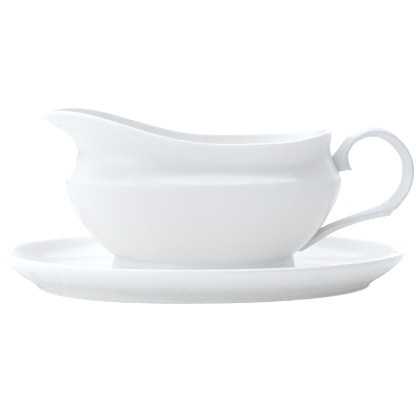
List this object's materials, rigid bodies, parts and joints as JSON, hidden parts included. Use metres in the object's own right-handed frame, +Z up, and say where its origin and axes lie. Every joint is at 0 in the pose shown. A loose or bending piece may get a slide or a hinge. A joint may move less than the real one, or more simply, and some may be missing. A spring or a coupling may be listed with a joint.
{
  "type": "gravy boat",
  "caption": "White glazed gravy boat with a saddle rim, pointed pouring lip and loop handle, standing loose on an oval saucer and lifting off it.",
  "frame": {"origin": "on the table, under the middle of the saucer's foot ring", "axes": "+Z up, +X from the pouring lip to the handle, +Y across the boat"},
  "size_m": [0.2465, 0.171, 0.1051],
  "materials": {
    "boat_glaze": "clear gloss glaze over white porcelain, bare at the foot's bottom edge",
    "handle_glaze": "clear gloss glaze over white porcelain",
    "saucer_glaze": "clear gloss glaze over white porcelain, bare at the foot ring's bottom edge"
  },
  "bodies": {
    "saucer": {"saucer": "saucer_glaze"},
    "boat": {"boat_body": "boat_glaze", "handle": "handle_glaze"}
  },
  "joints": [
    {"name": "boat_lift", "type": "slide", "parent": "saucer", "child": "boat", "axis": [0, 0, 1], "range_m": [0, 0.12]}
  ]
}
